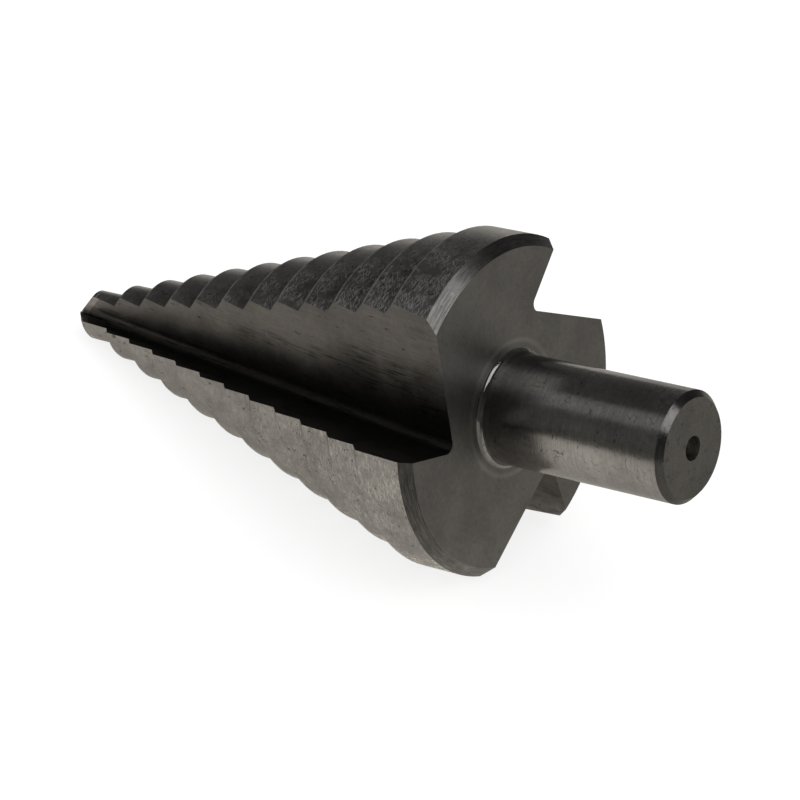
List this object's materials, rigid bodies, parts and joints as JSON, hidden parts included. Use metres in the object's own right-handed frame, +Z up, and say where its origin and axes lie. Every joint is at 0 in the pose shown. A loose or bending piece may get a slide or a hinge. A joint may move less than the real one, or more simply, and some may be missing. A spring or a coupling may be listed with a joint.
{
  "type": "step drill",
  "caption": "Conical stepped cutter with straight flutes and a plain round shank, for opening holes in sheet metal, lying at rest on its cone.",
  "frame": {"origin": "middle of the resting drill's box, on the surface that it lies on", "axes": "+X along the resting drill towards the shank, +Z up. The drill axis leans up from the point to the shank by about 15 degrees in the XZ plane."},
  "size_m": [0.0876, 0.039, 0.0373],
  "materials": {
    "ground_steel": "ground high speed steel, bright, with fine grinding marks"
  },
  "bodies": {
    "root": {"drill_body": "ground_steel"}
  },
  "joints": []
}
